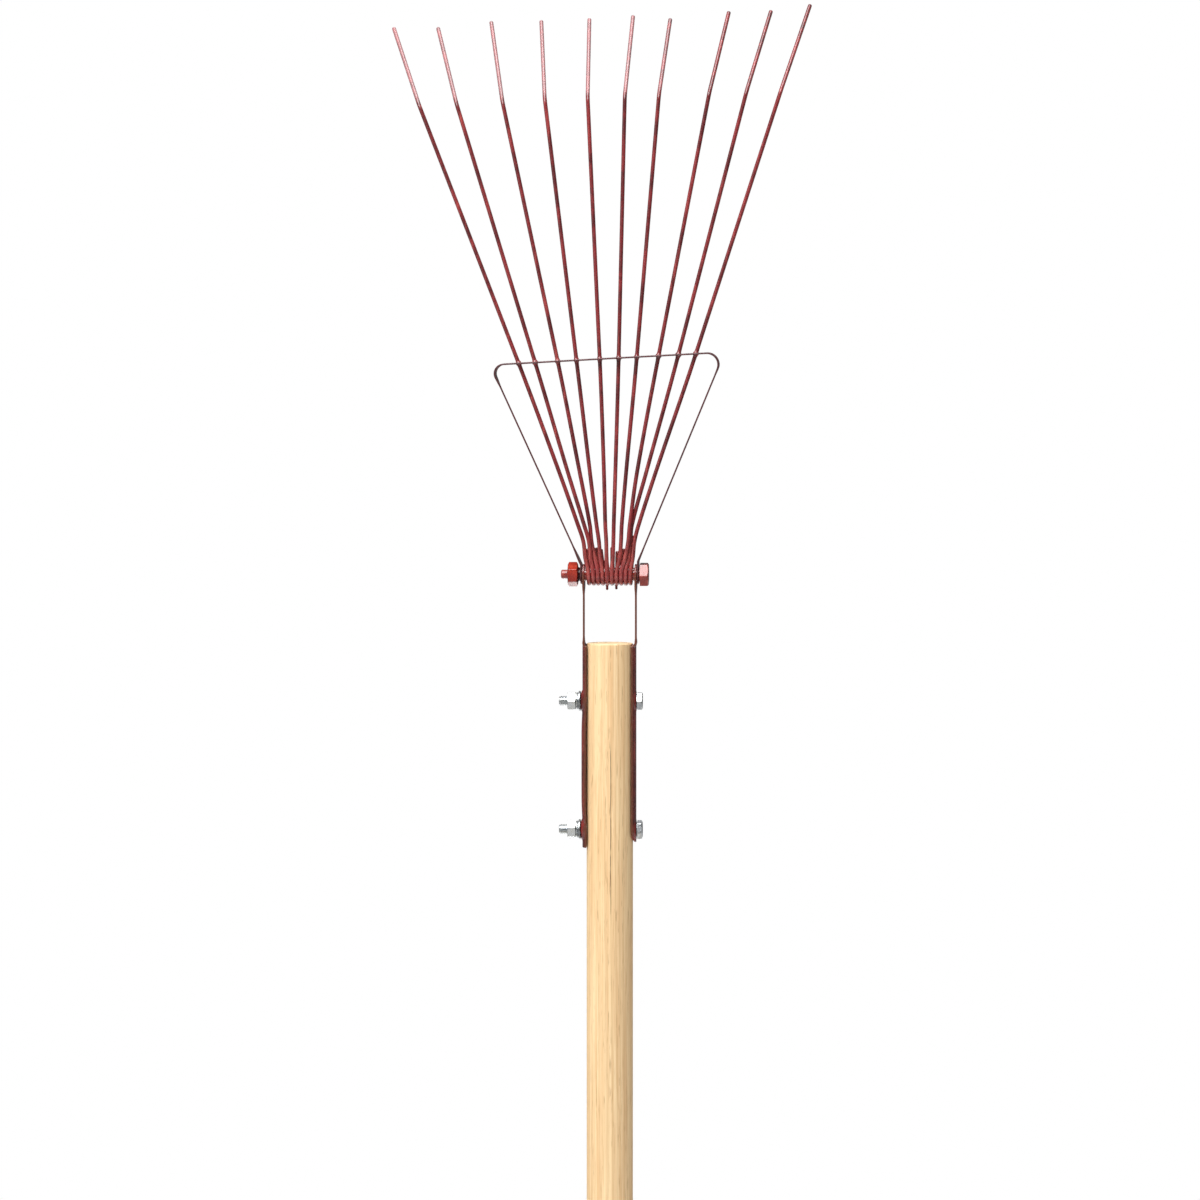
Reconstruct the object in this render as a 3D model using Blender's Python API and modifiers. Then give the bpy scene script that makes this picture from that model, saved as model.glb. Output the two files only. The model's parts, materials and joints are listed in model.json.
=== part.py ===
"""Leaf rake with sprung wire tines, two steel straps and a round wooden pole.

The origin is the centre of the pole's butt face. +Z runs up the pole to the head, +X along
the pivot bolt to its hexagon head, and +Y is the way the tips of the tines are bent.
Lengths are in metres.
"""

import math

import bmesh
import bpy
from mathutils import Matrix, Vector

MM = 0.001
CLEARANCE = 0.3 * MM

# Wooden pole
POLE_DIAMETER = 28 * MM
POLE_LENGTH = 1200 * MM
POLE_CHAMFER = 0.8 * MM
BUTT_ROUNDING = 9 * MM
BUTT_STEPS = 6
POLE_SIDES = 40

# Where the bolts sit along the pole
PIVOT_RISE = 41.4 * MM
UPPER_BOLT_DROP = 35 * MM
HANDLE_BOLT_SPACING = 77.6 * MM

# Flat steel straps
STRAP_THICKNESS = 1.2 * MM
STRAP_WIDTH = 13.6 * MM
STRAP_FLAT_GAP = 1.1 * MM
STRAP_HEAD_MARGIN = 6.2 * MM
STRAP_FLARE = 2 * MM
LEFT_STRAP_BOW = 0.6 * MM
RIGHT_STRAP_BOW = 0.0
LEFT_FOOT_MARGIN = 10.8 * MM
RIGHT_FOOT_MARGIN = 7.6 * MM
SEAT_FLAT_RADIUS = 4.6 * MM
SEAT_OUTER_RADIUS = 6.8 * MM
STRAP_COLUMNS = 8

# Gaps between the pole and each strap: where it curves round the pole, and at its seats
LEFT_STRAP_GAPS = (1.3 * MM, 2.2 * MM)
RIGHT_STRAP_GAPS = (0.8 * MM, 1.0 * MM)

# Wire tines, from left to right
WIRE_DIAMETER = 2.5 * MM
TINE_COUNT = 10
ROOT_PITCH = 2.77 * MM
HOOK_STEPS = 8
HOLE_OFFSETS_MM = (-54.9, -45.0, -31.4, -20.1, -6.1, 5.3, 16.2, 29.3, 41.2, 51.7)
FAN_ANGLES_DEG = (-21.3, -17.1, -12.2, -7.1, -2.8, 1.2, 4.7, 10.8, 14.4, 17.8)
STUB_HEIGHTS_MM = (15.3, 15.6, 15.9, 15.0, 8.7, 16.2, 13.8, 15.3, 15.6, 23.2)
STUB_ENDS_MM = (-13.8, -11.1, -8.4, -5.8, -2.5, 1.1, 4.3, 8.0, 10.9, 14.2)

# Where each shaft passes four heights above the pivot, between its hook and its hole
SHAFT_HEIGHTS_MM = (10, 20, 30, 62)
SHAFT_OFFSETS_MM = (
    (-14.5, -15.7, -19.0, -30.5),
    (-11.3, -12.3, -15.2, -25.3),
    (-8.8, -10.8, -11.9, -18.1),
    (-5.5, -6.3, -7.8, -11.9),
    (-1.7, -1.9, -2.5, -3.4),
    (2.1, 2.4, 2.6, 3.5),
    (6.2, 7.0, 7.4, 10.0),
    (9.5, 11.4, 12.3, 16.6),
    (11.5, 12.6, 13.5, 22.2),
    (14.1, 15.1, 17.6, 27.9))
# Shafts that cross pass in front of each other or behind, by these amounts at those heights
WEAVE_MM = (0, -1.1, 1.1, 0, 0, 0, 0, -1.3, 1.3, 0)
WEAVE_SHARES = (0.7, 1, 1, 0)

TIP_LEANS_DEG = (-1.7, -1.3, -0.3, 0.3, 0.1, 1.0, 0.4, -0.2, -0.2, -1.4)
TIP_LENGTHS_MM = (77.7, 73.7, 75.4, 73.2, 72.8, 74.0, 69.9, 75.4, 75.8, 80.9)

# The line along which the tines are bent over
KINK_HEIGHT = 287.2 * MM
KINK_LINE_SLOPE = 0.042
KINK_RADIUS = 9 * MM
KINK_STEPS = 5
TIP_BEND = math.radians(45)

# Spreader: a flat strip bent into a triangle round the tines
SPREADER_THICKNESS = 1.0 * MM
SPREADER_WIDTH = 13 * MM
BAR_HEIGHT = 129.8 * MM
BAR_SLOPE = 0.055
BAR_LEFT_END = -72.0 * MM
BAR_RIGHT_END = 68.9 * MM
LEFT_CORNER_RADIUS = 5.6 * MM
RIGHT_CORNER_RADIUS = 6.8 * MM
CORNER_STEPS = 7
LEFT_EAR_TOP = 5.7 * MM
RIGHT_EAR_TOP = 8 * MM
EAR_DEPTH = 5.9 * MM
TINE_HOLE_RADIUS = 1.9 * MM

# M8 pivot bolt and nut
PIVOT_DIAMETER = 8 * MM
PIVOT_HEX = 13 * MM
PIVOT_HEAD_HEIGHT = 5.3 * MM
PIVOT_NUT_HEIGHT = 6 * MM
PIVOT_HEAD_SEAT = 18.1 * MM
PIVOT_NUT_SEAT = 19.2 * MM
PIVOT_POINT_DIAMETER = 5.4 * MM
PIVOT_POINT_LENGTH = 4.2 * MM

# M6 bolts through the pole, with their nuts and washers
HANDLE_BOLT_DIAMETER = 6 * MM
HANDLE_HEX = 10 * MM
HANDLE_HEAD_HEIGHT = 3.2 * MM
HANDLE_NUT_HEIGHT = 5 * MM
HANDLE_THREAD_SHOWING = 5.2 * MM
PLAIN_WASHER_DIAMETER = 12 * MM
PLAIN_WASHER_THICKNESS = 1.0 * MM
SPRING_WASHER_DIAMETER = 10.4 * MM
SPRING_WASHER_THICKNESS = 1.1 * MM
SPRING_WASHER_SPLIT = 0.9 * MM
BOLT_SIDES = 16
WASHER_SIDES = 24

# Lengths worked out from the ones above
POLE_RADIUS = POLE_DIAMETER / 2
WIRE_RADIUS = WIRE_DIAMETER / 2
PIVOT_Z = POLE_LENGTH + PIVOT_RISE
UPPER_BOLT_Z = POLE_LENGTH - UPPER_BOLT_DROP
LOWER_BOLT_Z = UPPER_BOLT_Z - HANDLE_BOLT_SPACING
HANDLE_BOLTS = (("upper", UPPER_BOLT_Z), ("lower", LOWER_BOLT_Z))
LEFT_SEAT_FACE = POLE_RADIUS + LEFT_STRAP_GAPS[1] + STRAP_THICKNESS
RIGHT_SEAT_FACE = POLE_RADIUS + RIGHT_STRAP_GAPS[1] + STRAP_THICKNESS
STRAP_HEAD_FACE = POLE_RADIUS + STRAP_FLAT_GAP + STRAP_THICKNESS
HOOK_RADIUS = PIVOT_DIAMETER / 2 + CLEARANCE + WIRE_RADIUS


# ---------------------------------------------------------------- scene and helpers

def clear_scene():
    for old in list(bpy.data.objects):
        bpy.data.objects.remove(old, do_unlink=True)
    for old in list(bpy.data.collections):
        bpy.data.collections.remove(old)


def make_collection(name):
    collection = bpy.data.collections.new(name)
    bpy.context.scene.collection.children.link(collection)
    return collection


def make_material(name, colour, roughness, metallic):
    material = bpy.data.materials.new(name)
    material.use_nodes = True
    shader = material.node_tree.nodes["Principled BSDF"]
    shader.inputs["Base Color"].default_value = (*colour, 1)
    shader.inputs["Roughness"].default_value = roughness
    shader.inputs["Metallic"].default_value = metallic
    return material


def add_object(name, data, collection, material=None, parent=None, location=(0, 0, 0)):
    item = bpy.data.objects.new(name, data)
    collection.objects.link(item)
    item.parent = parent
    item.location = location
    if material:
        item.data.materials.append(material)
    return item


def mesh_from_bmesh(name, bm):
    mesh = bpy.data.meshes.new(name)
    bm.to_mesh(mesh)
    bm.free()
    return mesh


def shade_round(mesh, sharp_angle=35):
    mesh.shade_smooth()
    mesh.set_sharp_from_angle(angle=math.radians(sharp_angle))


def rod_mesh(name, radius, start, end, sides, turn=0.0):
    """A closed cylinder, or a prism with few sides, between two points."""
    start, end = Vector(start), Vector(end)
    run = end - start
    place = Matrix.Translation((start + end) / 2)
    aim = run.to_track_quat("Z", "Y").to_matrix().to_4x4()
    bm = bmesh.new()
    bmesh.ops.create_cone(
        bm, cap_ends=True, segments=sides, radius1=radius, radius2=radius,
        depth=run.length, matrix=place @ aim @ Matrix.Rotation(turn, 4, "Z"))
    return mesh_from_bmesh(name, bm)


def add_cutter(name, mesh, parent=None):
    cutter = add_object(name, mesh, cutters, parent=parent)
    cutter.hide_render = True
    cutter.display_type = "WIRE"
    return cutter


def add_boolean(item, cutter, operation):
    modifier = item.modifiers.new(operation.lower(), "BOOLEAN")
    modifier.operation = operation
    modifier.object = cutter
    modifier.solver = "EXACT"


def turn_profile(item, steps):
    """Turn a profile in the XZ plane once round the object's Z axis."""
    screw = item.modifiers.new("turned", "SCREW")
    screw.steps = steps
    screw.render_steps = steps
    screw.use_merge_vertices = True
    screw.merge_threshold = 0.00001


def profile_mesh(name, points, closed):
    bm = bmesh.new()
    corners = [bm.verts.new((x, 0, z)) for x, z in points]
    for first, second in zip(corners, corners[1:]):
        bm.edges.new((first, second))
    if closed:
        bm.edges.new((corners[-1], corners[0]))
    mesh = mesh_from_bmesh(name, bm)
    shade_round(mesh)
    return mesh


def smooth_step(value):
    value = min(max(value, 0.0), 1.0)
    return value * value * (3 - 2 * value)


def outline_solid(name, outlines, half_depth):
    """A closed solid with the given closed outlines in YZ, extruded both ways along X."""
    curve = bpy.data.curves.new(name, "CURVE")
    curve.dimensions = "2D"
    curve.fill_mode = "BOTH"
    curve.extrude = half_depth
    for outline in outlines:
        spline = curve.splines.new("POLY")
        spline.points.add(len(outline) - 1)
        spline.use_cyclic_u = True
        for point, (y, z) in zip(spline.points, outline):
            point.co = (y, z, 0, 1)
    flat = bpy.data.objects.new(name + "_flat", curve)
    cutters.objects.link(flat)
    bpy.context.view_layer.update()
    evaluated = flat.evaluated_get(bpy.context.evaluated_depsgraph_get())
    mesh = bpy.data.meshes.new_from_object(evaluated)
    bpy.data.objects.remove(flat, do_unlink=True)
    bm = bmesh.new()
    bm.from_mesh(mesh)
    bmesh.ops.remove_doubles(bm, verts=bm.verts, dist=0.000001)
    bmesh.ops.recalc_face_normals(bm, faces=bm.faces)
    stand_up = Matrix(((0, 0, 1, 0), (1, 0, 0, 0), (0, 1, 0, 0), (0, 0, 0, 1)))
    bm.transform(stand_up)
    bm.to_mesh(mesh)
    bm.free()
    return mesh


def circle_points(radius, centre_z, sides):
    turns = [2 * math.pi * step / sides for step in range(sides)]
    return [(radius * math.cos(turn), centre_z + radius * math.sin(turn)) for turn in turns]


# ---------------------------------------------------------------- pole

def build_pole():
    profile = [
        (0, POLE_LENGTH), (POLE_RADIUS - POLE_CHAMFER, POLE_LENGTH),
        (POLE_RADIUS, POLE_LENGTH - POLE_CHAMFER)]
    flat_radius = POLE_RADIUS - BUTT_ROUNDING
    for step in range(BUTT_STEPS + 1):
        turn = math.pi / 2 * step / BUTT_STEPS
        profile.append((flat_radius + BUTT_ROUNDING * math.cos(turn),
                        BUTT_ROUNDING * (1 - math.sin(turn))))
    profile.append((0, 0))
    pole = add_object("handle_pole", profile_mesh("handle_pole", profile, False), parts, wood)
    turn_profile(pole, POLE_SIDES)
    for place, height in HANDLE_BOLTS:
        bore = rod_mesh(
            "pole_bore_" + place, HANDLE_BOLT_DIAMETER / 2 + CLEARANCE,
            (-POLE_DIAMETER, 0, height), (POLE_DIAMETER, 0, height), BOLT_SIDES)
        add_boolean(pole, add_cutter("pole_bore_" + place, bore), "DIFFERENCE")


# ---------------------------------------------------------------- straps

def strap_offset(y, z, gaps, bow):
    """How far the strap's inner face is from the pole's axis: flat above the pole, curved
    round it below, and pushed out to a flat seat at each bolt. Between the bolts it may bow
    outwards a little."""
    hug = smooth_step((POLE_LENGTH - z) / STRAP_FLARE)
    curve_gap, seat_gap = gaps
    flat = POLE_RADIUS + STRAP_FLAT_GAP
    curved = math.sqrt((POLE_RADIUS + curve_gap) ** 2 - y ** 2)
    offset = flat + (curved - flat) * hug
    along = (z - LOWER_BOLT_Z) / HANDLE_BOLT_SPACING
    if 0 < along < 1:
        offset += bow * smooth_step(4 * along) * smooth_step(4 - 4 * along)
    for _, height in HANDLE_BOLTS:
        reach = math.hypot(y, z - height)
        seat = smooth_step((SEAT_OUTER_RADIUS - reach) / (SEAT_OUTER_RADIUS - SEAT_FLAT_RADIUS))
        offset += (POLE_RADIUS + seat_gap - offset) * seat
    return offset


def strap_rows(bottom, top):
    """Heights of the strap's rows: close together at the seats and at the pole's end."""
    rows = {bottom, top}
    rows.update(POLE_LENGTH - STRAP_FLARE * step / 3 for step in range(4))
    for _, height in HANDLE_BOLTS:
        rows.update(height + SEAT_OUTER_RADIUS * step / 5 for step in range(-5, 6))
    rows.update(LOWER_BOLT_Z + HANDLE_BOLT_SPACING * step / 6 for step in range(1, 6))
    return sorted(row for row in rows if bottom <= row <= top)


def strap_outline(foot_margin, round_foot):
    """Outline in YZ, anticlockwise from the lower left corner: a foot, and a round head."""
    half = STRAP_WIDTH / 2
    foot = LOWER_BOLT_Z - foot_margin
    head_centre = PIVOT_Z + STRAP_HEAD_MARGIN - half
    turns = [math.pi * step / 12 for step in range(13)]
    head = [(half * math.cos(turn), head_centre + half * math.sin(turn)) for turn in turns]
    if round_foot:
        base = [(-half * math.cos(turn), foot + half - half * math.sin(turn)) for turn in turns]
    else:
        base = [(-half, foot), (half, foot)]
    return base + head


def build_strap(name, side, foot_margin, round_foot, gaps, bow):
    rows = strap_rows(LOWER_BOLT_Z - foot_margin - MM, PIVOT_Z + STRAP_HEAD_MARGIN + MM)
    last_row = len(rows) - 1
    bm = bmesh.new()
    bmesh.ops.create_grid(bm, x_segments=STRAP_COLUMNS, y_segments=last_row, size=0.5)
    for vert in bm.verts:
        y = vert.co.x * (STRAP_WIDTH + MM)
        z = rows[round((vert.co.y + 0.5) * last_row)]
        vert.co = (side * strap_offset(y, z, gaps, bow), y, z)
    mesh = mesh_from_bmesh(name, bm)
    shade_round(mesh, 50)
    strap = add_object(name, mesh, parts, red_paint)
    shell = strap.modifiers.new("plate", "SOLIDIFY")
    shell.thickness = STRAP_THICKNESS
    shell.offset = side
    outlines = [strap_outline(foot_margin, round_foot)]
    outlines.append(circle_points(PIVOT_DIAMETER / 2 + CLEARANCE, PIVOT_Z, BOLT_SIDES))
    for _, height in HANDLE_BOLTS:
        outlines.append(circle_points(HANDLE_BOLT_DIAMETER / 2 + CLEARANCE, height, BOLT_SIDES))
    blank = outline_solid(name + "_outline", outlines, POLE_DIAMETER)
    add_boolean(strap, add_cutter(name + "_outline", blank), "INTERSECT")


# ---------------------------------------------------------------- tines and spreader

def bar_point(x):
    """The point of the spreader's bar, sloping slightly up to the right, at x."""
    return Vector((x, 0, BAR_HEIGHT + BAR_SLOPE * x))


def root_x(index):
    return (index - (TINE_COUNT - 1) / 2) * ROOT_PITCH


def tine_hole(index):
    return bar_point(HOLE_OFFSETS_MM[index] * MM)


def shaft_lean(index):
    """How far the straight shaft goes towards +Y for each unit of height."""
    return HOOK_RADIUS / tine_hole(index).z


def shaft_waypoints(index):
    """Points of the shaft between the hook and the hole."""
    points = []
    for x, height, share in zip(SHAFT_OFFSETS_MM[index], SHAFT_HEIGHTS_MM, WEAVE_SHARES):
        z = height * MM
        y = shaft_lean(index) * z - HOOK_RADIUS + WEAVE_MM[index] * share * MM
        points.append(Vector((x * MM, y, z)))
    return points


def shaft_direction(index):
    """Direction above the bar: the tine's fan angle, and the lean it has from root to hole."""
    across = math.tan(math.radians(FAN_ANGLES_DEG[index]))
    return Vector((across, shaft_lean(index), 1)).normalized()


def tine_kink(index):
    """Where the shaft meets the line along which the tips are bent over."""
    hole, along = tine_hole(index), shaft_direction(index)
    drop = KINK_HEIGHT + KINK_LINE_SLOPE * hole.x - hole.z
    return hole + along * drop / (along.z - KINK_LINE_SLOPE * along.x)


def tip_direction(index):
    """The shaft's direction leaned to one side, then bent back towards +Y."""
    along = shaft_direction(index)
    leaned = Matrix.Rotation(math.radians(TIP_LEANS_DEG[index]), 3, "Y") @ along
    across = leaned.cross(Vector((0, 1, 0))).normalized()
    return Matrix.Rotation(TIP_BEND, 3, across) @ leaned


def rounded_corner(before, corner, after, radius, steps):
    """Points of an arc that joins two straight runs meeting at a corner."""
    back = (before - corner).normalized()
    ahead = (after - corner).normalized()
    half_angle = back.angle(ahead) / 2
    centre = corner + (back + ahead).normalized() * radius / math.sin(half_angle)
    start = corner + back * radius / math.tan(half_angle) - centre
    axis = back.cross(ahead)
    turn = -(math.pi - 2 * half_angle)
    arc = [Matrix.Rotation(turn * step / steps, 3, axis) @ start for step in range(steps + 1)]
    return [centre + point for point in arc]


def tine_points(index):
    """The wire's centre line, from the end of the short leg to the tip, round the pivot."""
    x = root_x(index)
    stub_height = STUB_HEIGHTS_MM[index] * MM
    points = [Vector((STUB_ENDS_MM[index] * MM, HOOK_RADIUS, stub_height))]
    for step in range(HOOK_STEPS + 1):
        turn = math.pi * step / HOOK_STEPS
        points.append(Vector((x, HOOK_RADIUS * math.cos(turn), -HOOK_RADIUS * math.sin(turn))))
    points += shaft_waypoints(index)
    points.append(tine_hole(index))
    kink = tine_kink(index)
    tip = kink + tip_direction(index) * TIP_LENGTHS_MM[index] * MM
    points += rounded_corner(tine_hole(index), kink, tip, KINK_RADIUS, KINK_STEPS)
    points.append(tip)
    return points


def build_tine(index):
    name = f"tine_{index + 1:02d}"
    curve = bpy.data.curves.new(name, "CURVE")
    curve.dimensions = "3D"
    curve.bevel_depth = WIRE_RADIUS
    curve.bevel_resolution = 2
    curve.use_fill_caps = True
    points = tine_points(index)
    spline = curve.splines.new("POLY")
    spline.points.add(len(points) - 1)
    for spot, point in zip(spline.points, points):
        spot.co = (*point, 1)
    spline.use_smooth = True
    add_object(name, curve, parts, red_paint, parent=head)


def spreader_path():
    """Middle line of the strip in XZ, from the left ear over the bar to the right ear."""
    ear_middle = STRAP_HEAD_FACE + CLEARANCE + SPREADER_THICKNESS / 2
    left_top = Vector((-ear_middle, 0, LEFT_EAR_TOP))
    right_top = Vector((ear_middle, 0, RIGHT_EAR_TOP))
    left_corner, right_corner = bar_point(BAR_LEFT_END), bar_point(BAR_RIGHT_END)
    path = [Vector((-ear_middle, 0, -EAR_DEPTH)), left_top]
    path += rounded_corner(left_top, left_corner, right_corner, LEFT_CORNER_RADIUS, CORNER_STEPS)
    path += rounded_corner(left_corner, right_corner, right_top, RIGHT_CORNER_RADIUS, CORNER_STEPS)
    path += [right_top, Vector((ear_middle, 0, -EAR_DEPTH))]
    return path


def rounded_end_rows(path, half_width):
    """Rows of the strip as pairs of centre point and half width, with a round end each way."""
    def end_rows(end, inside):
        along = (inside - end).normalized()
        turns = [math.radians(angle) for angle in (15, 32, 50, 70, 90)]
        return [(end + along * half_width * (1 - math.cos(turn)), half_width * math.sin(turn))
                for turn in turns]
    first = end_rows(path[0], path[1])
    last = end_rows(path[-1], path[-2])
    middle = [(point, half_width) for point in path[1:-1]]
    return first + middle + last[::-1]


def build_spreader():
    rows = rounded_end_rows(spreader_path(), SPREADER_WIDTH / 2)
    last_row = len(rows) - 1
    bm = bmesh.new()
    bmesh.ops.create_grid(bm, x_segments=2, y_segments=last_row, size=0.5)
    for vert in bm.verts:
        centre, half_width = rows[round((vert.co.y + 0.5) * last_row)]
        vert.co = centre + Vector((0, vert.co.x * 2 * half_width, 0))
    mesh = mesh_from_bmesh("spreader_frame", bm)
    shade_round(mesh)
    spreader = add_object("spreader_frame", mesh, parts, red_paint, parent=head)
    plate = spreader.modifiers.new("plate", "SOLIDIFY")
    plate.thickness = SPREADER_THICKNESS
    plate.offset = 0
    plate.use_even_offset = True

    reach = 4 * SPREADER_THICKNESS
    for index in range(TINE_COUNT):
        hole, along = tine_hole(index), shaft_direction(index)
        bore = rod_mesh(
            f"tine_hole_{index + 1:02d}", TINE_HOLE_RADIUS,
            hole - along * reach, hole + along * reach, 12)
        cutter = add_cutter(f"tine_hole_{index + 1:02d}", bore, parent=head)
        add_boolean(spreader, cutter, "DIFFERENCE")
    bore = rod_mesh(
        "ear_holes", PIVOT_DIAMETER / 2 + 2 * CLEARANCE,
        (-PIVOT_NUT_SEAT - reach, 0, 0), (PIVOT_NUT_SEAT + reach, 0, 0), BOLT_SIDES)
    add_boolean(spreader, add_cutter("ear_holes", bore, parent=head), "DIFFERENCE")


# ---------------------------------------------------------------- fasteners

def hexagon(name, across_flats, start_x, end_x, height, flat_on_top):
    """A hexagonal prism along X. Its top is a flat or a corner."""
    turn = math.radians(30) if flat_on_top else 0.0
    radius = across_flats / math.sqrt(3)
    return rod_mesh(name, radius, (start_x, 0, height), (end_x, 0, height), 6, turn)


def build_bolt(name, diameter, hex_size, head_from, head_height, shank_end, height,
               flat_on_top, finish):
    """A hexagon bolt along X, its head on the right and its end on the left."""
    head_mesh = hexagon(name, hex_size, head_from, head_from + head_height, height, flat_on_top)
    bolt = add_object(name, head_mesh, parts, finish)
    overlap = head_height / 2
    shank = rod_mesh(
        name + "_shank", diameter / 2, (head_from + overlap, 0, height),
        (shank_end, 0, height), BOLT_SIDES)
    add_boolean(bolt, add_cutter(name + "_shank", shank), "UNION")
    return bolt


def build_nut(name, bolt_diameter, hex_size, start_x, thickness, height, flat_on_top, finish):
    mesh = hexagon(name, hex_size, start_x, start_x - thickness, height, flat_on_top)
    nut = add_object(name, mesh, parts, finish)
    bore = rod_mesh(
        name + "_bore", bolt_diameter / 2 + CLEARANCE, (start_x + thickness, 0, height),
        (start_x - 2 * thickness, 0, height), BOLT_SIDES)
    add_boolean(nut, add_cutter(name + "_bore", bore), "DIFFERENCE")


def build_washer(name, outer_diameter, bolt_diameter, start_x, thickness, height):
    """A turned ring whose axis is along X, lying to the left of start_x."""
    inner, outer = bolt_diameter / 2 + CLEARANCE, outer_diameter / 2
    profile = ((inner, 0), (inner, thickness), (outer, thickness), (outer, 0))
    washer = add_object(
        name, profile_mesh(name, profile, True), parts, zinc,
        location=(start_x - thickness, 0, height))
    washer.rotation_euler = (0, math.radians(90), 0)
    turn_profile(washer, WASHER_SIDES)
    return washer


def build_spring_washer(name, start_x, height):
    washer = build_washer(
        name, SPRING_WASHER_DIAMETER, HANDLE_BOLT_DIAMETER, start_x,
        SPRING_WASHER_THICKNESS, height)
    middle = start_x - SPRING_WASHER_THICKNESS / 2
    bm = bmesh.new()
    size = (4 * SPRING_WASHER_THICKNESS, SPRING_WASHER_SPLIT, SPRING_WASHER_DIAMETER)
    slant = Matrix.Rotation(math.radians(25), 4, "Z")
    place = Matrix.Translation((middle, 0, height + SPRING_WASHER_DIAMETER / 2))
    bmesh.ops.create_cube(bm, size=1, matrix=place @ slant @ Matrix.Diagonal((*size, 1)))
    split = add_cutter(name + "_split", mesh_from_bmesh(name + "_split", bm))
    add_boolean(washer, split, "DIFFERENCE")


def build_handle_fasteners():
    head_from = RIGHT_SEAT_FACE + CLEARANCE
    washer_from = -LEFT_SEAT_FACE - CLEARANCE
    spring_from = washer_from - PLAIN_WASHER_THICKNESS - CLEARANCE
    nut_from = spring_from - SPRING_WASHER_THICKNESS - CLEARANCE
    bolt_end = nut_from - HANDLE_NUT_HEIGHT - HANDLE_THREAD_SHOWING
    for place, height in HANDLE_BOLTS:
        build_bolt(
            "handle_bolt_" + place, HANDLE_BOLT_DIAMETER, HANDLE_HEX, head_from,
            HANDLE_HEAD_HEIGHT, bolt_end, height, place == "upper", zinc)
        build_washer(
            "plain_washer_" + place, PLAIN_WASHER_DIAMETER, HANDLE_BOLT_DIAMETER,
            washer_from, PLAIN_WASHER_THICKNESS, height)
        build_spring_washer("spring_washer_" + place, spring_from, height)
        build_nut(
            "handle_nut_" + place, HANDLE_BOLT_DIAMETER, HANDLE_HEX, nut_from,
            HANDLE_NUT_HEIGHT, height, place == "upper", zinc)


def build_pivot_fasteners():
    thread_end = -PIVOT_NUT_SEAT - PIVOT_NUT_HEIGHT
    point_end = thread_end - PIVOT_POINT_LENGTH
    bolt = build_bolt(
        "pivot_bolt", PIVOT_DIAMETER, PIVOT_HEX, PIVOT_HEAD_SEAT, PIVOT_HEAD_HEIGHT,
        thread_end, PIVOT_Z, True, red_paint)
    point = rod_mesh(
        "pivot_bolt_point", PIVOT_POINT_DIAMETER / 2, (thread_end + MM, 0, PIVOT_Z),
        (point_end, 0, PIVOT_Z), BOLT_SIDES)
    add_boolean(bolt, add_cutter("pivot_bolt_point", point), "UNION")
    build_nut(
        "pivot_nut", PIVOT_DIAMETER, PIVOT_HEX, -PIVOT_NUT_SEAT, PIVOT_NUT_HEIGHT,
        PIVOT_Z, False, red_paint)


# ---------------------------------------------------------------- the rake

clear_scene()
parts = make_collection("leaf_rake")
cutters = make_collection("cutters")
wood = make_material("pale_wood", (0.78, 0.56, 0.32), 0.6, 0.0)
red_paint = make_material("red_oxide_paint", (0.26, 0.035, 0.025), 0.4, 0.0)
zinc = make_material("zinc_plate", (0.62, 0.66, 0.70), 0.3, 1.0)

head = add_object("head_axis", None, parts, location=(0, 0, PIVOT_Z))
head.empty_display_size = 20 * MM

build_pole()
build_strap("strap_left", -1, LEFT_FOOT_MARGIN, False, LEFT_STRAP_GAPS, LEFT_STRAP_BOW)
build_strap("strap_right", 1, RIGHT_FOOT_MARGIN, True, RIGHT_STRAP_GAPS, RIGHT_STRAP_BOW)
for tine_index in range(TINE_COUNT):
    build_tine(tine_index)
build_spreader()
build_pivot_fasteners()
build_handle_fasteners()
bpy.context.view_layer.update()
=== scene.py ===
"""Looks of a leaf rake: wire tines, a flat steel spreader, two straps and a wooden pole.

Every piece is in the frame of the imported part, in metres: +Z up the pole, +X along the pivot
bolt to its head, +Y the way the tips of the tines are bent.
"""

import json
import math

import bmesh
import bpy
import numpy as np
from mathutils import Matrix, Vector, noise


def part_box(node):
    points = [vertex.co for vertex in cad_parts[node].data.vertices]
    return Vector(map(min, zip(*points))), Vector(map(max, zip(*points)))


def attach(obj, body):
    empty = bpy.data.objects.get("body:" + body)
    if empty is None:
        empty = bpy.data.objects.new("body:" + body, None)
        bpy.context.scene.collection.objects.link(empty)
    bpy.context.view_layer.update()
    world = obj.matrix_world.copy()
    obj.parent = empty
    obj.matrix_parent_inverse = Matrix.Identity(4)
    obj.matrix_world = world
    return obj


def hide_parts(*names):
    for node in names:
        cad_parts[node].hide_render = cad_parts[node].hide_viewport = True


MM = 0.001

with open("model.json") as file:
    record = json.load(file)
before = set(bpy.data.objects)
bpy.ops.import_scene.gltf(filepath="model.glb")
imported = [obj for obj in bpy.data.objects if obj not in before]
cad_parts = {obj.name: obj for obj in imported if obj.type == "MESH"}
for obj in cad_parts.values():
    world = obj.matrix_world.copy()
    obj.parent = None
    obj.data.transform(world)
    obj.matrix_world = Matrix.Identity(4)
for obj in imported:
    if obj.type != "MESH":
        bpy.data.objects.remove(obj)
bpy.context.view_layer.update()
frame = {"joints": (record.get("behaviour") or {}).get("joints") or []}  # only the joints, from model.json's behaviour

# Sizes read from the imported part
PIVOT_Z = frame["joints"][0]["pos_m"][2]
POLE_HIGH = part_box("handle_pole")[1]
POLE_LENGTH = POLE_HIGH.z
POLE_RADIUS = POLE_HIGH.x


def middle_height(node):
    low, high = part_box(node)
    return (low.z + high.z) / 2


UPPER_BOLT_Z = middle_height("plain_washer_upper")
LOWER_BOLT_Z = middle_height("plain_washer_lower")
BOLT_SPACING = UPPER_BOLT_Z - LOWER_BOLT_Z

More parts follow.
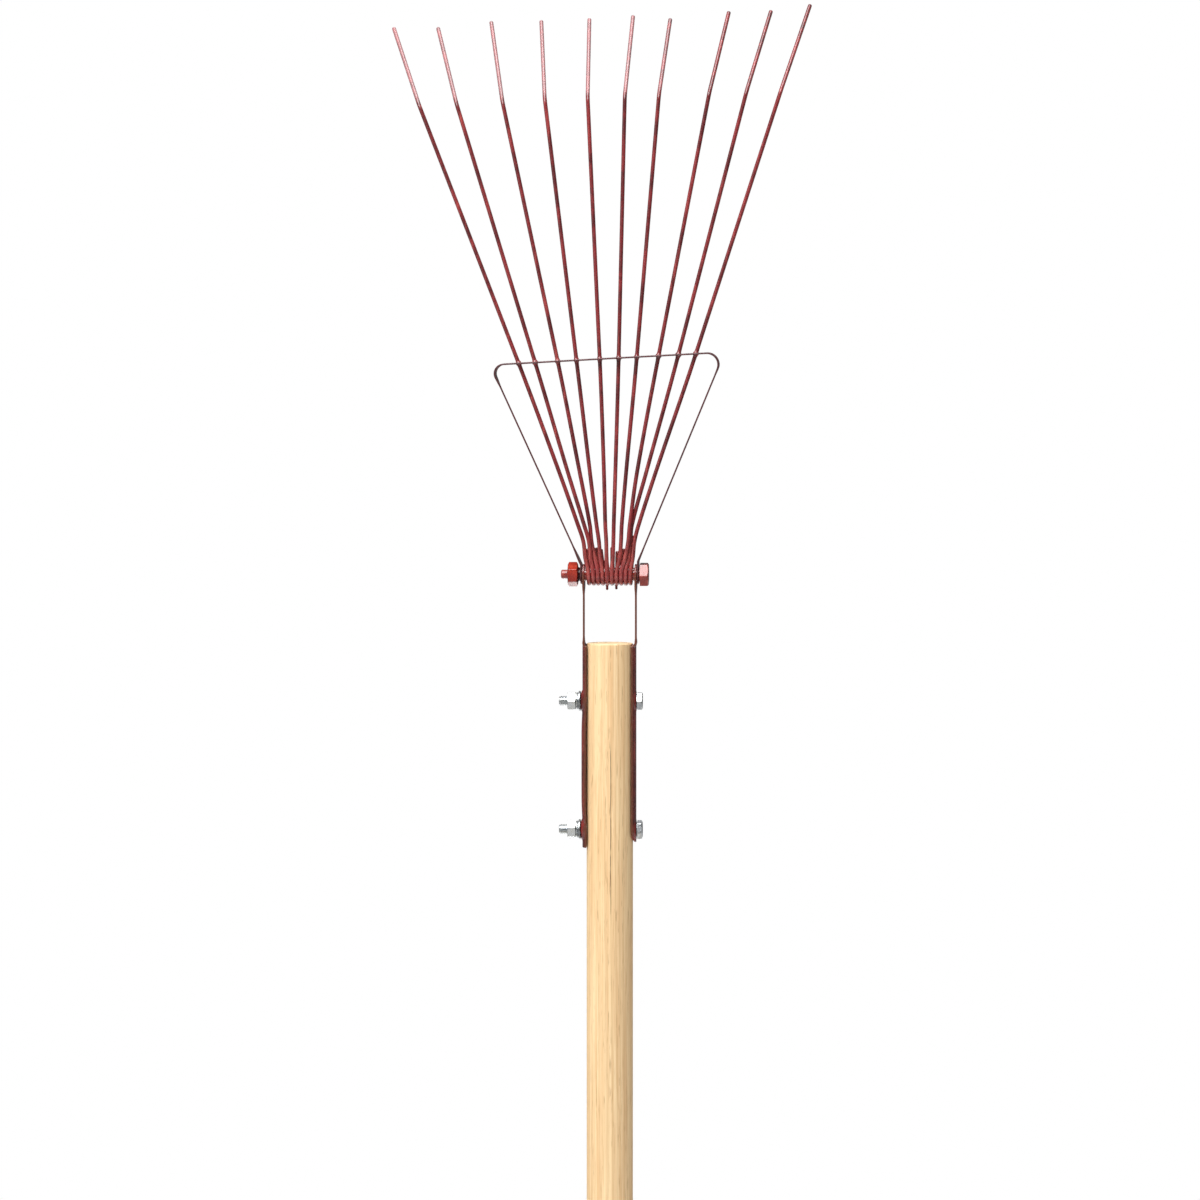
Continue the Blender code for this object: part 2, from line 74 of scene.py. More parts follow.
# Pole
POLE_CHAMFER = 0.8 * MM
BUTT_ROUNDING = 9 * MM
POLE_SIDES = 128

# Straps
STRAP_THICKNESS = 1.2 * MM
STRAP_HALF_WIDTH = 6.8 * MM
STRAP_FLAT_GAP = 1.1 * MM
STRAP_FLARE = 2 * MM
STRAP_BOW = {"left": 0.6 * MM, "right": 0.0}
# How much each strap's free length is turned, as offset per unit of width
STRAP_TURN = {"left": 0.066, "right": -0.056}
# Gaps to the pole: of the curved part, and of the seats
STRAP_GAPS = {"left": (1.3 * MM, 2.2 * MM), "right": (0.8 * MM, 1.0 * MM)}
SEAT_FLAT_RADIUS = 4.6 * MM
SEAT_OUTER_RADIUS = 6.8 * MM
EDGE_ROUNDING = 0.34 * MM
LEFT_FOOT_ROUNDING = 1.1 * MM
STRAP_FACE = POLE_RADIUS + STRAP_FLAT_GAP + STRAP_THICKNESS

# Tines, from left to right
WIRE_RADIUS = 1.25 * MM
TINE_COUNT = 10
ROOT_PITCH = 2.77 * MM
HOOK_RADIUS = 5.55 * MM
HOLE_OFFSETS_MM = (-54.9, -45.0, -31.4, -20.1, -6.1, 5.3, 16.2, 29.3, 41.2, 51.7)
FAN_ANGLES_DEG = (-21.3, -17.1, -12.2, -7.1, -2.8, 1.2, 4.7, 10.8, 14.4, 17.8)
STUB_HEIGHTS_MM = (15.3, 15.6, 15.9, 15.0, 8.7, 16.2, 13.8, 15.3, 15.6, 23.2)
STUB_ENDS_MM = (-13.8, -11.1, -8.4, -5.8, -2.5, 1.1, 4.3, 8.0, 10.9, 14.2)

# Where each shaft passes four heights above the pivot, between its hook and its hole
SHAFT_HEIGHTS_MM = (10, 20, 30, 62)
SHAFT_OFFSETS_MM = (
    (-14.5, -15.7, -19.0, -30.5),
    (-11.3, -12.3, -15.2, -25.3),
    (-8.8, -10.8, -11.9, -18.1),
    (-5.5, -6.3, -7.8, -11.9),
    (-1.7, -1.9, -2.5, -3.4),
    (2.1, 2.4, 2.6, 3.5),
    (6.2, 7.0, 7.4, 10.0),
    (9.5, 11.4, 12.3, 16.6),
    (11.5, 12.6, 13.5, 22.2),
    (14.1, 15.1, 17.6, 27.9))
# Shafts that cross pass in front of each other or behind, by these amounts at those heights
WEAVE_MM = (0, -1.1, 1.1, 0, 0, 0, 0, -1.3, 1.3, 0)
WEAVE_SHARES = (0.7, 1, 1, 0)

TIP_LEANS_DEG = (-1.7, -1.3, -0.3, 0.3, 0.1, 1.0, 0.4, -0.2, -0.2, -1.4)
TIP_LENGTHS_MM = (77.7, 73.7, 75.4, 73.2, 72.8, 74.0, 69.9, 75.4, 75.8, 80.9)
KINK_HEIGHT = 287.2 * MM
KINK_LINE_SLOPE = 0.042
KINK_RADIUS = 9 * MM
TIP_BEND = math.radians(45)

# Paint on the wires: its fullness where they crowd on the bolt, the collar it makes at the bar,
# and the length of each rounded end
PAINT_CROWDING = 0.11 * MM
CROWDED_REACH = 15 * MM
COLLAR_HEIGHT = 0.62 * MM
COLLAR_FADE = 0.55 * MM
WIRE_END_ROUNDING = 0.8 * MM

# Spreader
SPREADER_THICKNESS = 1.0 * MM
SPREADER_HALF_WIDTH = 6.5 * MM
BAR_HEIGHT = 129.8 * MM
BAR_SLOPE = 0.055
BAR_LEFT_END = -72.0 * MM
BAR_RIGHT_END = 68.9 * MM
LEFT_CORNER_RADIUS = 5.6 * MM
RIGHT_CORNER_RADIUS = 6.8 * MM
LEFT_EAR_TOP = 5.7 * MM
RIGHT_EAR_TOP = 8 * MM
EAR_DEPTH = 5.9 * MM
# How much each arm is turned over its free length, as offset per unit of width
ARM_TURN = {"left": 0.077, "right": -0.034}
EAR_GAP = 0.3 * MM
TINE_HOLE_RADIUS = 1.9 * MM

# Fasteners
PIVOT_HEX = 13 * MM
PIVOT_RADIUS = 4 * MM
PIVOT_HEAD_HEIGHT = 5.3 * MM
PIVOT_POINT_RADIUS = 2.7 * MM
PIVOT_POINT_LENGTH = 4.2 * MM
BOLT_HEX = 10 * MM
BOLT_RADIUS = 3 * MM
BOLT_HEAD_HEIGHT = 3.2 * MM
BOLT_PITCH = 1.0 * MM
HOLE_CLEARANCE = 0.3 * MM
# How far the hexagons on the pole's bolts are turned, in degrees
HEAD_CORNERS = {"upper": 0, "lower": 18}
NUT_CORNERS = {"upper": 0, "lower": 45}
PIVOT_HEAD_CORNER = 6.5
PIVOT_NUT_CORNER = 35
CORNER_ROUNDING = 0.28 * MM
# The round face of a hexagon inside its chamfer, as a share of its size over flats
CHAMFER_SHARE = 0.475

# The dark grain line on the pole's front
LINE_TOP = 1.143
LINE_BOTTOM = 1.03

# Studio
FLOOR_RADIUS = 4.0
FLOOR_HEIGHT = -0.0012
AIR_FRONT = 0.185
AIR_BEHIND = 0.13
AIR_ABOVE = 0.38
KEY_POWER = 12
TOP_POWER = 109
FRONT_POWER = 16.5
FLOOR_POWER = 20

# Camera
CAMERA_LENS = 174.42
CAMERA_DISTANCE = 3.5
CAMERA_AZIMUTH = math.radians(3.5)
CAMERA_ELEVATION = math.radians(3)
CAMERA_TARGET = Vector((-0.00594, 0, PIVOT_Z - 0.0155))


# ---------------------------------------------------------------- mesh helpers

def new_object(name, mesh, material):
    item = bpy.data.objects.new(name, mesh)
    bpy.context.scene.collection.objects.link(item)
    item.data.materials.append(material)
    return item


def shade(mesh, sharp_angle=35):
    mesh.shade_smooth()
    mesh.set_sharp_from_angle(angle=math.radians(sharp_angle))


def loft(name, rings, cyclic=False):
    """A closed solid skinned over rings of points. Without cyclic its two ends are capped."""
    rings = np.asarray(rings, float)
    count, size = rings.shape[:2]
    bm = bmesh.new()
    verts = [[bm.verts.new(point) for point in ring] for ring in rings]
    for first in range(count if cyclic else count - 1):
        low, high = verts[first], verts[(first + 1) % count]
        for side in range(size):
            after = (side + 1) % size
            bm.faces.new((low[side], low[after], high[after], high[side]))
    if not cyclic:
        for ring in (verts[0][::-1], verts[-1]):
            bm.faces.new(ring)
    bmesh.ops.recalc_face_normals(bm, faces=bm.faces)
    mesh = bpy.data.meshes.new(name)
    bm.to_mesh(mesh)
    bm.free()
    shade(mesh)
    return mesh


def around_x(profile, height, angles):
    """Rings about the axis through (0, height) along X, from (x, radius) pairs."""
    return [[(x, radius * math.cos(turn), height + radius * math.sin(turn)) for turn in angles]
            for x, radius in profile]


def around_z(profile, x, y, sides):
    """Rings about an axis along Z, from (z, radius) pairs."""
    return [[(x + radius * math.cos(turn), y + radius * math.sin(turn), z)
             for turn in even_angles(sides)] for z, radius in profile]


def even_angles(count):
    return [2 * math.pi * step / count for step in range(count)]


def edge_inset(distance, rounding=EDGE_ROUNDING):
    """How far a face draws back near its edge, so that the edge is rounded."""
    short = max(rounding - max(distance, 0.0), 0.0)
    return rounding - math.sqrt(max(rounding ** 2 - short ** 2, 0.0))


def smooth_step(value):
    value = min(max(value, 0.0), 1.0)
    return value * value * (3 - 2 * value)


def cut(item, cutters):
    """Cuts closed meshes out of a piece, and keeps the result as its mesh."""
    for index, mesh in enumerate(cutters):
        tool = bpy.data.objects.new(f"tool_{index}", mesh)
        bpy.context.scene.collection.objects.link(tool)
        modifier = item.modifiers.new("cut", "BOOLEAN")
        modifier.operation = "DIFFERENCE"
        modifier.solver = "EXACT"
        modifier.object = tool
    bpy.context.view_layer.update()
    evaluated = item.evaluated_get(bpy.context.evaluated_depsgraph_get())
    mesh = bpy.data.meshes.new_from_object(evaluated)
    tools = [modifier.object for modifier in item.modifiers]
    item.modifiers.clear()
    for tool in tools:
        bpy.data.objects.remove(tool, do_unlink=True)
    item.data = mesh
    shade(mesh)


def rod(radius, start, end, sides=48):
    start, end = Vector(start), Vector(end)
    run = end - start
    aim = run.to_track_quat("Z", "Y").to_matrix()
    rings = [[start + run * step + aim @ Vector((radius * math.cos(t), radius * math.sin(t), 0))
              for t in even_angles(sides)] for step in (0, 1)]
    return loft("rod", rings)


# ---------------------------------------------------------------- materials

class Graph:
    """A short way to write a node material."""

    def __init__(self, name):
        self.material = bpy.data.materials.new(name)
        self.material.use_nodes = True
        self.tree = self.material.node_tree
        self.shader = self.tree.nodes["Principled BSDF"]
        self.place = self.add("ShaderNodeTexCoord").outputs["Object"]

    def add(self, kind, **settings):
        item = self.tree.nodes.new(kind)
        for key, value in settings.items():
            setattr(item, key, value)
        return item

    def link(self, source, socket):
        self.tree.links.new(source, socket)

    def feed(self, socket, value):
        if isinstance(value, bpy.types.NodeSocket):
            self.link(value, socket)
        else:
            socket.default_value = value

    def coordinates(self):
        item = self.add("ShaderNodeSeparateXYZ")
        self.link(self.place, item.inputs[0])
        return item.outputs

    def stretched(self, scale, shift=(0, 0, 0)):
        item = self.add("ShaderNodeMapping")
        self.link(self.place, item.inputs["Vector"])
        item.inputs["Scale"].default_value = scale
        item.inputs["Location"].default_value = shift
        return item.outputs["Vector"]

    def noise(self, scale, detail=3.0, roughness=0.5, distortion=0.0, where=None):
        item = self.add("ShaderNodeTexNoise")
        self.link(where or self.place, item.inputs["Vector"])
        item.inputs["Scale"].default_value = scale
        item.inputs["Detail"].default_value = detail
        item.inputs["Roughness"].default_value = roughness
        item.inputs["Distortion"].default_value = distortion
        return item.outputs["Fac"]

    def math(self, operation, first, second=0.0, clamp=False):
        item = self.add("ShaderNodeMath", operation=operation, use_clamp=clamp)
        self.feed(item.inputs[0], first)
        self.feed(item.inputs[1], second)
        return item.outputs[0]

    def band(self, value, low, high, to_low=0.0, to_high=1.0):
        item = self.add("ShaderNodeMapRange", interpolation_type="SMOOTHSTEP")
        self.feed(item.inputs["Value"], value)
        for key, number in (("From Min", low), ("From Max", high),
                            ("To Min", to_low), ("To Max", to_high)):
            item.inputs[key].default_value = number
        return item.outputs["Result"]

    def mix(self, share, first, second, blend="MIX"):
        item = self.add("ShaderNodeMix", data_type="RGBA", blend_type=blend)
        self.feed(item.inputs[0], share)
        for socket, value in ((item.inputs[6], first), (item.inputs[7], second)):
            self.feed(socket, (*value, 1) if isinstance(value, tuple) else value)
        return item.outputs[2]

    def bump(self, height, strength, distance, below=None):
        item = self.add("ShaderNodeBump")
        self.link(height, item.inputs["Height"])
        item.inputs["Strength"].default_value = strength
        item.inputs["Distance"].default_value = distance
        if below is not None:
            self.link(below, item.inputs["Normal"])
        return item.outputs["Normal"]

    def finish(self, colour, roughness, normal, **fixed):
        self.feed(self.shader.inputs["Base Color"], colour)
        self.feed(self.shader.inputs["Roughness"], roughness)
        self.feed(self.shader.inputs["Normal"], normal)
        for key, value in fixed.items():
            self.shader.inputs[key.replace("_", " ")].default_value = value
        return self.material


def paint_material(name, deep, middle, bright, coat=0.12, edge=None, pale=None):
    """Dip paint: patches where it lies thicker or thinner, runs down the metal, a soft peel.
    It is darker on a strip's edges, as painted shade: edge is their distance from y = 0, and a
    tone.
    It is paler round the pivot, and paler on the left wires' tips, a painted highlight: pale
    holds those two tones."""
    g = Graph(name)
    patches = g.noise(70, 5, 0.55, 0.4)
    runs = g.noise(1, 4, 0.6, 0.3, g.stretched((420, 420, 26)))
    fine = g.noise(900, 3, 0.6)
    colour = g.mix(g.band(patches, 0.36, 0.64), deep, middle)
    colour = g.mix(g.band(runs, 0.52, 0.72, 0, 0.7), colour, bright)
    colour = g.mix(g.band(fine, 0.60, 0.72, 0, 0.35), colour, deep)
    dust = g.band(g.noise(2600, 2, 0.5), 0.66, 0.74, 0, 0.25)
    colour = g.mix(dust, colour, (0.30, 0.13, 0.11))
    # the strip's edges are darkened here: painted shade
    if edge:
        distance, tone = edge
        aside = g.math("ABSOLUTE", g.coordinates()["Y"])
        painted_edge_shade = g.band(aside, distance - 0.0004, distance - 0.0001, 0, 0.8)
        colour = g.mix(painted_edge_shade, colour, tone)
    if pale:
        pivot_tone, tip_painted_highlight = pale
        x, _, z = g.coordinates()
        away = g.math("ABSOLUTE", g.math("SUBTRACT", z, PIVOT_Z))
        uneven = g.noise(1, 3, 0.6, 0.2, g.stretched((700, 700, 60)))
        share = g.math("MULTIPLY", g.band(away, 0.010, 0.028, 1, 0),
                       g.band(uneven, 0.40, 0.62, 0.25, 0.85))
        colour = g.mix(share, colour, pivot_tone)
        # the left wires' tips are painted paler: a painted highlight from the light above and to
        # the left
        over_kink = g.math("SUBTRACT", g.math("SUBTRACT", z, PIVOT_Z + KINK_HEIGHT),
                           g.math("MULTIPLY", x, KINK_LINE_SLOPE))
        share = g.math("MULTIPLY", g.band(over_kink, 0, 0.006),
                       g.band(x, 0.0, 0.065, 0.40, 0.0))
        colour = g.mix(share, colour, tip_painted_highlight)
    roughness = g.band(g.noise(240, 4, 0.6), 0.3, 0.7, 0.18, 0.30)
    normal = g.bump(g.noise(520, 2, 0.5), 0.14, 0.00008)
    normal = g.bump(fine, 0.14, 0.00005, normal)
    return g.finish(colour, roughness, normal, Specular_IOR_Level=0.5, Coat_Weight=coat,
                    Coat_Roughness=0.10)


def wood_material():
    """Pale wood: growth layers seen on the side as long streaks, short pores, one dark line."""
    g = Graph("pale_wood")
    x, y, z = g.coordinates()

    wander = g.noise(1, 2, 0.5, 0, g.stretched((9, 9, 2.2)))
    off_x = g.math("ADD", g.math("SUBTRACT", x, 0.031), g.math("MULTIPLY", wander, 0.012))
    off_y = g.math("ADD", g.math("SUBTRACT", y, 0.022), g.math("MULTIPLY", wander, 0.009))
    reach = g.math("SQRT", g.math(
        "ADD", g.math("MULTIPLY", off_x, off_x), g.math("MULTIPLY", off_y, off_y)))
    layers = g.math("FRACT", g.math("MULTIPLY", reach, 470))
    late = g.band(layers, 0.45, 1.0)
    broad = g.noise(1, 3, 0.5, 0.2, g.stretched((60, 60, 1.6)))
    streaks = g.noise(1, 5, 0.62, 0.35, g.stretched((520, 520, 9)))
    threads = g.noise(1, 3, 0.6, 0.1, g.stretched((2100, 2100, 46), (3.1, 1.7, 0.4)))
    pores = g.noise(1, 2, 0.5, 0.0, g.stretched((1500, 1500, 62), (7.7, 2.3, 5.1)))

    pale, tan, brown = (0.90, 0.68, 0.395), (0.77, 0.50, 0.255), (0.56, 0.31, 0.13)
    colour = g.mix(g.band(streaks, 0.33, 0.68), pale, tan)
    colour = g.mix(g.math("MULTIPLY", late, 0.22), colour, brown)
    colour = g.mix(g.band(broad, 0.42, 0.66, 0, 0.35), colour, tan)
    colour = g.mix(g.band(threads, 0.555, 0.68, 0, 0.50), colour, brown)
    pore = g.band(pores, 0.645, 0.70)
    colour = g.mix(g.math("MULTIPLY", pore, 0.62), colour, (0.42, 0.215, 0.085))

    # the dark grain line on the front, which fades in and out along its length
    sway = g.math("MULTIPLY", g.math("SUBTRACT", g.noise(1, 3, 0.5, 0, g.stretched(
        (0.01, 0.01, 38))), 0.5), 0.0016)
    line_x = g.math("ABSOLUTE", g.math("SUBTRACT", g.math("SUBTRACT", x, 0.0013), sway))
    thin = g.band(line_x, 0.00012, 0.00042, 1, 0)
    top = g.band(z, LINE_TOP - 0.012, LINE_TOP, 1, 0)
    bottom = g.band(z, LINE_BOTTOM, LINE_BOTTOM + 0.03)
    front = g.band(y, -0.006, -0.002, 1, 0)
    breaks = g.band(g.noise(1, 2, 0.5, 0, g.stretched((0.01, 0.01, 85), (0, 0, 3.3))),
                    0.36, 0.52, 0.25, 1)
    line = g.math("MULTIPLY", g.math("MULTIPLY", thin, top), g.math(
        "MULTIPLY", g.math("MULTIPLY", bottom, front), breaks))
    colour = g.mix(g.math("MULTIPLY", line, 0.8), colour, (0.22, 0.115, 0.05))

    # the sanded end is paler than the side
    end = g.band(z, POLE_LENGTH - 0.0003, POLE_LENGTH - 0.00005)
    colour = g.mix(g.math("MULTIPLY", end, 0.35), colour, (0.90, 0.72, 0.48))

    depth = g.math("SUBTRACT", g.math("MULTIPLY", streaks, 0.45), pore)
    depth = g.math("SUBTRACT", depth, line)
    normal = g.bump(depth, 0.5, 0.00012)
    roughness = g.band(streaks, 0.3, 0.7, 0.48, 0.64)
    return g.finish(colour, roughness, normal, Specular_IOR_Level=0.35)


def zinc_material(name, light, dark):
    """Bright zinc plate: a faint blue and straw cast, fine pits, brighter worn high spots."""
    g = Graph(name)
    cast = g.noise(260, 3, 0.5)
    grime = g.noise(620, 4, 0.65)
    colour = g.mix(g.band(cast, 0.4, 0.62), light, (light[0], light[1] * 0.985, light[2] * 0.92))
    colour = g.mix(g.band(grime, 0.55, 0.78, 0, 0.6), colour, dark)
    roughness = g.band(g.noise(1400, 3, 0.6), 0.3, 0.7, 0.20, 0.40)
    normal = g.bump(g.noise(1900, 3, 0.6), 0.22, 0.00004)
    return g.finish(colour, roughness, normal, Metallic=1.0)


wood = wood_material()
# the second pale tone, for the left wires' tips, is a painted highlight
tine_paint = paint_material(
    "tine_paint", (0.085, 0.009, 0.011), (0.215, 0.021, 0.024), (0.39, 0.058, 0.052), 0.5,
    pale=((0.38, 0.074, 0.062), (0.54, 0.31, 0.32)))
# the edge tones of the strap and spreader paints are painted shade
strap_paint = paint_material(
    "strap_paint", (0.088, 0.012, 0.010), (0.200, 0.025, 0.021), (0.37, 0.068, 0.052),
    edge=(STRAP_HALF_WIDTH, (0.120, 0.042, 0.024)))
spreader_paint = paint_material(
    "spreader_paint", (0.060, 0.007, 0.008), (0.140, 0.016, 0.016), (0.26, 0.040, 0.034),
    edge=(SPREADER_HALF_WIDTH, (0.080, 0.032, 0.034)))
# near-black paint for the necks on the pivot bolt: painted shade
shade_paint = paint_material(
    "shade_paint", (0.025, 0.003, 0.004), (0.050, 0.006, 0.007), (0.085, 0.013, 0.012), 0.0)
bolt_paint = paint_material(
    "bolt_paint", (0.210, 0.014, 0.008), (0.380, 0.030, 0.013), (0.50, 0.060, 0.028), 0.9)
zinc = zinc_material("zinc_plate", (0.68, 0.71, 0.74), (0.34, 0.36, 0.38))
# a brighter copy of the zinc for the nuts: painted highlight
nut_zinc = zinc_material("nut_zinc", (0.92, 0.94, 0.95), (0.66, 0.68, 0.70))
# a darker copy of the zinc for the plain washers: painted shade
washer_zinc = zinc_material("washer_zinc", (0.42, 0.44, 0.46), (0.16, 0.17, 0.18))


# ---------------------------------------------------------------- pole

def build_pole():
    """The pole with a softened rim, a rounded butt, and a surface a turning lathe leaves."""
    radius, steps = POLE_RADIUS - 0.02 * MM, 8
    profile = [(0.0, 0.4 * MM), (0.0, radius - BUTT_ROUNDING)]
    for step in range(1, 2 * steps + 1):
        turn = math.pi / 2 * step / (2 * steps)
        profile.append((BUTT_ROUNDING * (1 - math.cos(turn)),
                        radius - BUTT_ROUNDING * (1 - math.sin(turn))))
    height = BUTT_ROUNDING
    while height < POLE_LENGTH - 6 * MM:
        height += 6 * MM
        profile.append((min(height, POLE_LENGTH - 4 * MM), radius))
    for step in range(steps + 1):
        turn = math.pi / 2 * step / steps
        profile.append((POLE_LENGTH - POLE_CHAMFER * (1 - math.sin(turn)),
                        radius - POLE_CHAMFER * (1 - math.cos(turn))))
    profile += [(POLE_LENGTH, radius * 0.6), (POLE_LENGTH, 0.4 * MM)]
    rings = np.array(around_z(profile, 0, 0, POLE_SIDES))
    for ring in rings:
        for point in ring:
            spread = math.hypot(point[0], point[1])
            if spread > radius - 1.5 * MM:
                where = Vector((point[0] * 90, point[1] * 90, point[2] * 6))
                point[:2] *= 1 - 0.05 * MM * (0.5 + 0.5 * noise.noise(where)) / spread
    pole = new_object("pole", loft("pole", rings), wood)
    reach = 2 * POLE_RADIUS
    cut(pole, [rod(BOLT_RADIUS + HOLE_CLEARANCE, (-reach, 0, height), (reach, 0, height))
               for height in (UPPER_BOLT_Z, LOWER_BOLT_Z)])
    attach(pole, "handle")
    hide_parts("handle_pole")


# ---------------------------------------------------------------- straps

def strap_offset(y, z, gaps, bow, turn):
    """Distance of the strap's inner face from the pole's axis: flat and slightly turned above
    the pole, curved round it below, and pressed out to a flat seat at each bolt."""
    curve_gap, seat_gap = gaps
    hug = smooth_step((POLE_LENGTH - z) / STRAP_FLARE)
    flat = POLE_RADIUS + STRAP_FLAT_GAP
    curved = math.sqrt((POLE_RADIUS + curve_gap) ** 2 - y ** 2)
    curved -= 0.4 * (curve_gap - 0.5 * MM) * (y / STRAP_HALF_WIDTH) ** 4
    offset = flat + (curved - flat) * hug
    offset += turn * y * smooth_step((z - POLE_LENGTH + 1 * MM) / (5 * MM)) * smooth_step(
        (PIVOT_Z - EAR_DEPTH - 1 * MM - z) / (6 * MM))
    along = (z - LOWER_BOLT_Z) / BOLT_SPACING
    if 0 < along < 1:
        offset += bow * smooth_step(4 * along) * smooth_step(4 - 4 * along)
    for height in (UPPER_BOLT_Z, LOWER_BOLT_Z):
        reach = math.hypot(y, z - height)
        seat = smooth_step((SEAT_OUTER_RADIUS - reach) / (SEAT_OUTER_RADIUS - SEAT_FLAT_RADIUS))
        offset += (POLE_RADIUS + seat_gap - offset) * seat
    return offset


def sheet_point(y, z, gaps, bow, turn):
    """The offset of a strap's inner face, and the direction square to that face."""
    small = 0.02 * MM
    base = strap_offset(y, z, gaps, bow, turn)
    across = (strap_offset(y + small, z, gaps, bow, turn) - base) / small
    along = (strap_offset(y, z + small, gaps, bow, turn) - base) / small
    return base, Vector((1, -across, -along)).normalized()


def spread_columns(half_width, edge, count):
    """Positions across a strip, close together at its two edges."""
    near = [0.0, edge * 0.08, edge * 0.3, edge * 0.62, edge]
    left = [-half_width + step for step in near]
    inner = list(np.linspace(-half_width + edge, half_width - edge, count))[1:-1]
    return left + inner + [-step for step in reversed(left)]


def build_strap(side_name):
    side = -1 if side_name == "left" else 1
    node = "strap_" + side_name
    low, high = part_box(node)
    gaps, bow, turn = STRAP_GAPS[side_name], STRAP_BOW[side_name], STRAP_TURN[side_name]
    half, rounding = STRAP_HALF_WIDTH, EDGE_ROUNDING
    head_centre = high.z - half
    foot_radius = half if side == 1 else LEFT_FOOT_ROUNDING
    foot_centre = low.z + foot_radius

    def half_width(z):
        if z > head_centre:
            return math.sqrt(max(half ** 2 - (z - head_centre) ** 2, 0))
        if z < foot_centre:
            return half - foot_radius + math.sqrt(
                max(foot_radius ** 2 - (foot_centre - z) ** 2, 0))
        return half

    def edge_distance(y, z):
        if z > head_centre:
            return half - math.hypot(y, z - head_centre)
        beside = max(abs(y) - (half - foot_radius), 0)
        if z < foot_centre:
            return foot_radius - math.hypot(beside, foot_centre - z) if beside else z - low.z
        return half - abs(y)

    ends = [1 - math.cos(math.radians(angle)) for angle in (4, 12, 20, 30, 42, 55, 70, 90)]
    rows = [high.z - half * end for end in ends] + [low.z + foot_radius * end for end in ends]
    rows += list(np.arange(foot_centre + 1.5 * MM, head_centre - 1 * MM, 2.5 * MM))
    rows += [POLE_LENGTH - STRAP_FLARE * step / 6 for step in range(-1, 8)]
    for height in (UPPER_BOLT_Z, LOWER_BOLT_Z):
        rows += [height + SEAT_OUTER_RADIUS * step / 9 for step in range(-9, 10)]
    if side == -1:
        rows += [low.z, low.z + rounding * 0.3, low.z + rounding]
    rows = sorted(row for row in rows if low.z <= row <= high.z)
    rows = [row for row, after in zip(rows, rows[1:] + [1e9]) if after - row > 0.04 * MM]

    columns = spread_columns(half, rounding, 17)
    rings = []
    for z in rows:
        inner, outer = [], []
        for column in columns:
            y = column * half_width(z) / half
            base, rise = sheet_point(y, z, gaps, bow, turn)
            inset = edge_inset(edge_distance(y, z))
            for line, height in ((inner, inset), (outer, STRAP_THICKNESS - inset)):
                lift = rise * height
                line.append((side * (base + lift.x), y + lift.y, z + lift.z))
        rings.append(inner + outer[::-1])
    strap = new_object("strap_plate_" + side_name, loft(node, rings), strap_paint)
    holes = [(BOLT_RADIUS, UPPER_BOLT_Z), (BOLT_RADIUS, LOWER_BOLT_Z), (PIVOT_RADIUS, PIVOT_Z)]
    cut(strap, [rod(radius + HOLE_CLEARANCE, (side * 5 * MM, 0, z), (side * 30 * MM, 0, z))
                for radius, z in holes])
    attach(strap, "handle")
    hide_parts(node)


# ---------------------------------------------------------------- tines

def bar_point(x):
    return Vector((x, 0, BAR_HEIGHT + BAR_SLOPE * x))


def tine_hole(index):
    return bar_point(HOLE_OFFSETS_MM[index] * MM)


def shaft_lean(index):
    """How far the straight shaft goes towards +Y for each unit of height."""
    return HOOK_RADIUS / tine_hole(index).z


def shaft_waypoints(index):
    """Points of the shaft between the hook and the hole."""
    points = []
    for x, height, share in zip(SHAFT_OFFSETS_MM[index], SHAFT_HEIGHTS_MM, WEAVE_SHARES):
        z = height * MM
        y = shaft_lean(index) * z - HOOK_RADIUS + WEAVE_MM[index] * share * MM
        points.append(Vector((x * MM, y, z)))
    return points


def shaft_direction(index):
    """Direction above the bar: the tine's fan angle, and the lean it has from root to hole."""
    across = math.tan(math.radians(FAN_ANGLES_DEG[index]))
    return Vector((across, shaft_lean(index), 1)).normalized()


def tine_kink(index):
    hole, along = tine_hole(index), shaft_direction(index)
    drop = KINK_HEIGHT + KINK_LINE_SLOPE * hole.x - hole.z
    return hole + along * drop / (along.z - KINK_LINE_SLOPE * along.x)


def tip_direction(index):
    along = shaft_direction(index)
    leaned = Matrix.Rotation(math.radians(TIP_LEANS_DEG[index]), 3, "Y") @ along
    across = leaned.cross(Vector((0, 1, 0))).normalized()
    return Matrix.Rotation(TIP_BEND, 3, across) @ leaned


def rounded_corner(before, corner, after, radius, steps):
    back = (before - corner).normalized()
    ahead = (after - corner).normalized()
    half_angle = back.angle(ahead) / 2
    centre = corner + (back + ahead).normalized() * radius / math.sin(half_angle)
    start = corner + back * radius / math.tan(half_angle) - centre
    axis = back.cross(ahead)
    turn = -(math.pi - 2 * half_angle)
    return [centre + Matrix.Rotation(turn * step / steps, 3, axis) @ start
            for step in range(steps + 1)]


def tine_line(index):
    """Middle line of a wire from the end of its short leg, round the pivot, to the tip."""
    x = (index - (TINE_COUNT - 1) / 2) * ROOT_PITCH
    stub_end = Vector((STUB_ENDS_MM[index] * MM, HOOK_RADIUS, STUB_HEIGHTS_MM[index] * MM))
    hook = []
    for step in range(25):
        turn = math.pi * step / 24
        hook.append(Vector((x, HOOK_RADIUS * math.cos(turn), -HOOK_RADIUS * math.sin(turn))))
    line = rounded_corner(stub_end, hook[0], hook[1], 4 * MM, 3)
    line = [stub_end] + [point for point in line if point.z > 0] + hook
    kink = tine_kink(index)
    tip = kink + tip_direction(index) * (TIP_LENGTHS_MM[index] * MM - 0.15 * MM)
    run = [hook[-1]] + shaft_waypoints(index) + [tine_hole(index)]
    line += smooth_run(run, hook[-1] - hook[-2], kink - tine_hole(index))
    line += rounded_corner(tine_hole(index), kink, tip, KINK_RADIUS, 12)
    line.append(tip)
    return line


